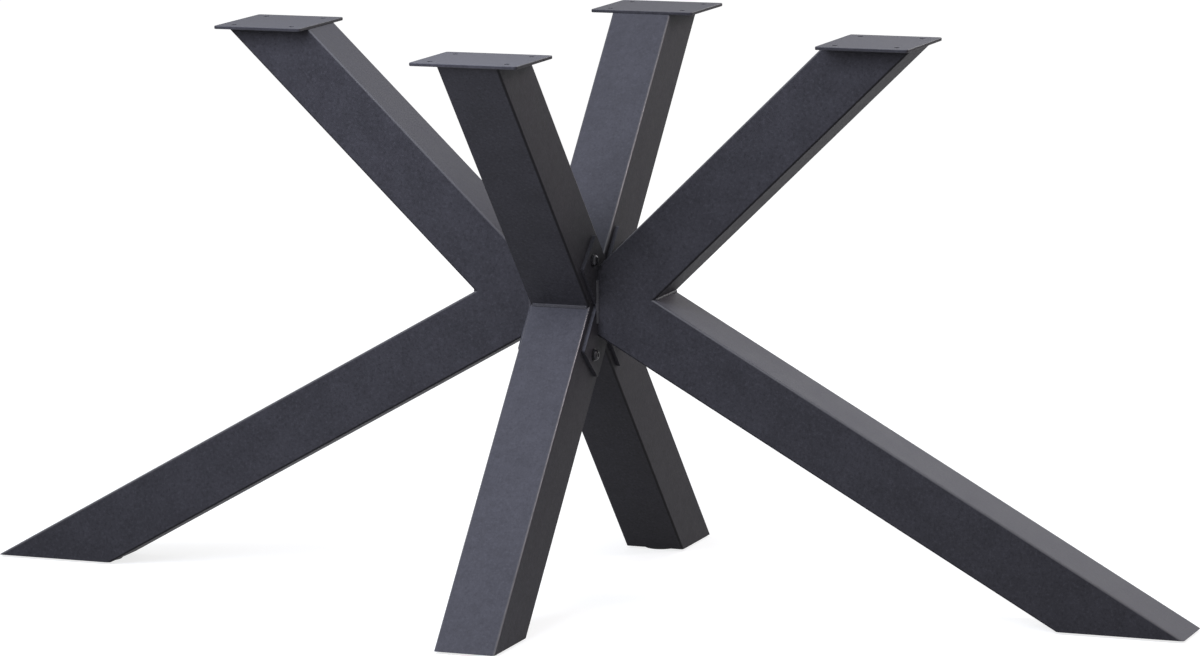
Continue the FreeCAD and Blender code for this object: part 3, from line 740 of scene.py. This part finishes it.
def weld_bead(name, length, half_corner):
    """Rippled bead along Z, in a corner whose faces meet at the origin and open towards X."""
    weld = bpy.context.scene.weld_form
    reach = weld.leg * cos(half_corner) + weld.crest
    spread = weld.leg * sin(half_corner)
    ripples = round(length / weld.ripple)
    step = length / ripples
    hand = Random(BEAD_SEED)
    rings = []
    for _ in range(ripples):
        swell = hand.uniform(*BEAD_SWELL)
        rings += [(share * step, width * swell) for share, width in BEAD_RIPPLE]
    rings[-1] = (rings[-1][0], BEAD_END)

    piece = ring(name, 1, weld.around)
    bpy.ops.transform.resize(value=(BEAD_DEPTH * reach, BEAD_WIDTH * spread, 1),
                             center_override=ORIGIN)
    heart, height = BEAD_HEART * reach, -length / 2
    bpy.ops.transform.translate(value=(heart, 0, height))
    bpy.ops.transform.resize(value=(BEAD_END, BEAD_END, 1), center_override=(heart, 0, height))
    width = BEAD_END
    for rise, next_width in rings:
        height += rise
        grow(rise, next_width / width, (heart, 0, height))
        width = next_width
    return close(piece, BEAD_SMOOTH)


class TABLEBASE_OT_lay_welds(Operator):
    """Lay the rippled beads in the notches, in the crotches and beside the roots"""
    bl_idname = "tablebase.lay_welds"
    bl_label = "Lay the welds"

    def execute(self, context):
        form = context.scene.frame_form
        material = weld_coat()
        across_x, across_y = Vector((1, 0, 0)), Vector((0, 1, 0))

        low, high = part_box("side_notch_welds")
        notch_height = form.cross_height + form.notch_rise
        lean = (form.upper_slope - form.lower_slope) / 2
        bead = weld_bead("bead", high.y - low.y, (form.upper_slope + form.lower_slope) / 2)
        stations = [(Vector((side * form.notch_reach, 0, notch_height)),
                     lay(Vector((side * cos(lean), 0, sin(lean))), across_y)) for side in SIDES]
        stand_in(set_out(bead, "notch_beads", stations), material, "weld_metal", "side_notch_welds")

        low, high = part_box("cross_welds")
        beside = form.tube_size / 2 / sin(form.cross_slope)
        above = form.tube_size / 2 / cos(form.cross_slope)
        bead = weld_bead("bead", high.x - low.x, form.cross_slope)
        stations = [(Vector((0, side * beside, form.cross_height)), lay(side * across_y, across_x))
                    for side in SIDES]
        sides = set_out(bead, "cross_side_beads", stations)
        bead = weld_bead("bead", high.x - low.x, pi / 2 - form.cross_slope)
        stations = [(Vector((0, 0, form.cross_height + side * above)), lay(side * UP, across_x))
                    for side in SIDES]
        crotches = set_out(bead, "cross_beads", stations)
        sides.select_set(True)
        bpy.ops.object.join()
        stand_in(crotches, material, "weld_metal", "cross_welds")

        low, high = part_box("root_welds")
        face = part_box("right_flange")[1].x
        bead = weld_bead("bead", high.z - low.z, pi / 4)
        stations = [(Vector((x * face, y * form.tube_size / 2, (low.z + high.z) / 2)),
                     lay(Vector((x, y, 0)), UP)) for x in SIDES for y in SIDES]
        stand_in(set_out(bead, "root_beads", stations), material, "weld_metal", "root_welds")
        return {"FINISHED"}


def bolt_places(seat):
    """Places and turns of the flange bolts, at a height over the centre plane."""
    form = bpy.context.scene.frame_form
    radius = bpy.context.scene.fastener_form.head_diameter / 2
    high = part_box("flange_bolts")[1]
    across = high.y - radius
    up = high.z - radius - form.cross_height
    places = []
    for x in SIDES:
        for y in SIDES:
            for z in SIDES:
                place = Vector((x * seat, y * across, form.cross_height + z * up))
                turned = radians(SOCKET_TURN * len(places))
                outward = Quaternion((1, 0, 0), turned) @ UP
                places.append((place, lay(outward, Vector((x, 0, 0)))))
    return places


def dome(rim, flat, low, high, steps=8):
    """Radii and heights of a domed head, from its rim up to its flat."""
    outline = []
    for step in range(1, steps + 1):
        angle = step / steps * pi / 2
        outline.append((rim + (flat - rim) * (1 - cos(angle)) ** 0.9,
                        low + (high - low) * sin(angle) ** 0.85))
    return outline


def domed_bolt():
    """Socket bolt whose head sits on the origin."""
    form = bpy.context.scene.fastener_form
    shank, head = form.bolt_diameter / 2, form.head_diameter / 2
    outline = [(shank - BOLT_TIP, -form.bolt_length), (shank, BOLT_TIP - form.bolt_length),
               (shank, 0), (head, 0), (head, form.head_rim)]
    outline += dome(head, form.head_flat / 2, form.head_rim, form.head_height)
    bolt = close(turn("bolt", outline, FASTENER_AROUND), FASTENER_SMOOTH)

    deselect()
    bpy.ops.mesh.primitive_cylinder_add(
        vertices=6, radius=form.socket / 2 / cos(radians(30)), depth=2 * form.socket_depth,
        location=(0, 0, form.head_height))
    key = bpy.context.object
    deselect()
    bolt.select_set(True)
    bpy.context.view_layer.objects.active = bolt
    socket = bolt.modifiers.new("socket", "BOOLEAN")
    socket.operation = "DIFFERENCE"
    socket.solver = "EXACT"
    socket.object = key
    bpy.ops.object.modifier_apply(modifier=socket.name)
    bpy.data.objects.remove(key)
    soften(bolt, BOLT_EDGE)
    bpy.ops.object.shade_smooth_by_angle(angle=FASTENER_SMOOTH)
    return bolt


def plain_washer(hole, outer, thickness):
    """Flat washer that lies on the origin."""
    washer = turn("washer", [(hole, 0), (outer, 0), (outer, thickness), (hole, thickness)],
                  FASTENER_AROUND, fill="NOTHING")
    bpy.ops.mesh.select_all(action="DESELECT")
    bpy.ops.mesh.select_mode(type="EDGE")
    bpy.ops.mesh.select_non_manifold()
    bpy.ops.mesh.bridge_edge_loops()
    close(washer, FASTENER_SMOOTH)
    soften(washer, WASHER_EDGE)
    bpy.ops.object.shade_smooth_by_angle(angle=FASTENER_SMOOTH)
    return washer


class TABLEBASE_OT_fit_bolts(Operator):
    """Fit the domed socket bolts on their washers"""
    bl_idname = "tablebase.fit_bolts"
    bl_label = "Fit the bolts and washers"

    def execute(self, context):
        form = context.scene.fastener_form
        material = blackened_steel()
        washer_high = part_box("flange_washers")[1]
        bolts = set_out(domed_bolt(), "domed_bolts", bolt_places(washer_high.x))
        stand_in(bolts, material, "black_steel", "flange_bolts")

        flange_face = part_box("right_flange")[1].x
        bolt_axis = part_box("flange_bolts")[1].y - form.head_diameter / 2
        washer = plain_washer(form.washer_hole / 2, washer_high.y - bolt_axis,
                              washer_high.x - flange_face)
        washers = set_out(washer, "plain_washers", bolt_places(flange_face))
        stand_in(washers, material, "black_steel", "flange_washers")
        return {"FINISHED"}


class TABLEBASE_OT_mould_glides(Operator):
    """Mould the four low round glides"""
    bl_idname = "tablebase.mould_glides"
    bl_label = "Mould the glides"

    def execute(self, context):
        form = context.scene.glide_form
        material = moulded_plastic()
        low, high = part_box("right_glide")
        radius, top, recess = (high.x - low.x) / 2, high.z, form.recess / 2
        outline = quarter_round(radius - form.edge, form.edge, form.edge, -pi / 2)
        outline += quarter_round(radius - form.rim, top - form.rim, form.rim, 0, 3)
        outline += [(recess + form.rim, top), (recess, top - form.rim),
                    (recess, top - form.recess_depth)]
        for side in HEADINGS:
            node = f"{side}_glide"
            low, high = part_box(node)
            middle = (low + high) / 2
            glide = close(turn("glide", outline, GLIDE_AROUND), GLIDE_SMOOTH)
            glide = set_out(glide, f"{side}_foot_glide",
                            [(Vector((middle.x, middle.y, low.z)), Quaternion())])
            stand_in(glide, material, "glide_plastic", node)
        return {"FINISHED"}


class TABLEBASE_OT_plate_hidden_steel(Operator):
    """Plate the studs and weld nuts that the tubes hide"""
    bl_idname = "tablebase.plate_hidden_steel"
    bl_label = "Plate the hidden fasteners"

    def execute(self, context):
        give(["flange_nuts", "glide_studs", "glide_nuts"], zinc_plate())
        return {"FINISHED"}


class TABLEBASE_OT_set_studio(Operator):
    """Lay the floor, set the sky, hang the lamps and set the camera"""
    bl_idname = "tablebase.set_studio"
    bl_label = "Set the studio"

    def execute(self, context):
        form = context.scene.studio_form
        deselect()
        bpy.ops.mesh.primitive_plane_add(size=form.floor_size, location=ORIGIN)
        floor = context.object
        floor.name = "studio_floor"
        floor.data.materials.append(floor_paint())
        self.light_sky(context, form.sky)

        for name in ("softbox", "fill", "rim", "side"):
            self.hang_lamp(context, name, *(getattr(form, f"{name}_{key}")
                                            for key in ("place", "size", "power", "colour")))

        bpy.ops.object.camera_add(location=form.camera_place)
        camera = context.object
        camera.name = "studio_camera"
        camera.data.sensor_width = SENSOR_WIDTH
        camera.data.lens = form.lens
        camera.data.clip_end = 2 * form.floor_size
        heading = (Matrix.Rotation(form.camera_yaw, 4, "Z")
                   @ Matrix.Rotation(pi / 2 - form.camera_pitch, 4, "X")
                   @ Matrix.Rotation(form.camera_roll, 4, "Z"))
        camera.rotation_euler = heading.to_euler()
        context.scene.camera = camera
        context.scene.view_settings.view_transform = "Standard"
        return {"FINISHED"}

    def hang_lamp(self, context, name, place, size, power, colour):
        """Square lamp that faces the middle of the object."""
        bpy.ops.object.light_add(type="AREA", location=place)
        lamp = context.object
        lamp.name = name
        lamp.data.shape = "SQUARE"
        lamp.data.size = size
        lamp.data.energy = power
        lamp.data.color = colour
        lamp.visible_camera = False
        # The front lamp would glare on the plates in a view from behind.
        lamp.visible_glossy = name != "fill"
        aim = Vector((0, 0, context.scene.frame_form.cross_height)) - lamp.location
        lamp.rotation_euler = aim.to_track_quat("-Z", "Y").to_euler()

    def light_sky(self, context, level):
        """White to the camera and to reflections, and a plain level for light."""
        sky = Finish("plain_sky", "worlds")
        strength = level + (1 - level) * seen_rays(sky)
        shader = sky.node("ShaderNodeBackground", None,
                          {"Color": (1, 1, 1, 1), "Strength": strength})
        sky.node("ShaderNodeOutputWorld", None, {"Surface": shader})
        context.scene.world = sky.owner


FORMS = {"frame_form": FrameForm, "coat_look": CoatLook, "weld_form": WeldForm,
         "fastener_form": FastenerForm, "glide_form": GlideForm, "studio_form": StudioForm}

STEPS = (TABLEBASE_OT_coat_tubes, TABLEBASE_OT_coat_plates, TABLEBASE_OT_lay_welds,
         TABLEBASE_OT_fit_bolts, TABLEBASE_OT_mould_glides, TABLEBASE_OT_plate_hidden_steel,
         TABLEBASE_OT_set_studio)


class TABLEBASE_PT_panel(Panel):
    """Steps and settings of the table base"""
    bl_label = "Table Base"
    bl_idname = "TABLEBASE_PT_panel"
    bl_space_type = "VIEW_3D"
    bl_region_type = "UI"
    bl_category = "Table Base"

    def draw(self, context):
        for step in STEPS:
            self.layout.operator(step.bl_idname)
        for name in FORMS:
            box = self.layout.box()
            group = getattr(context.scene, name)
            for key in group.bl_rna.properties.keys():
                if key not in ("rna_type", "name"):
                    box.prop(group, key)


def register():
    """Register the settings, the steps and the panel."""
    for name, kind in FORMS.items():
        bpy.utils.register_class(kind)
        setattr(bpy.types.Scene, name, PointerProperty(type=kind))
    for kind in (*STEPS, TABLEBASE_PT_panel):
        bpy.utils.register_class(kind)


def unregister():
    """Take the panel, the steps and the settings away."""
    for kind in (TABLEBASE_PT_panel, *reversed(STEPS)):
        bpy.utils.unregister_class(kind)
    for name, kind in FORMS.items():
        delattr(bpy.types.Scene, name)
        bpy.utils.unregister_class(kind)


def main():
    """Run every step in order."""
    register()
    bpy.ops.tablebase.coat_tubes()
    bpy.ops.tablebase.coat_plates()
    bpy.ops.tablebase.lay_welds()
    bpy.ops.tablebase.fit_bolts()
    bpy.ops.tablebase.mould_glides()
    bpy.ops.tablebase.plate_hidden_steel()
    bpy.ops.tablebase.set_studio()


if __name__ == "__main__":
    main()
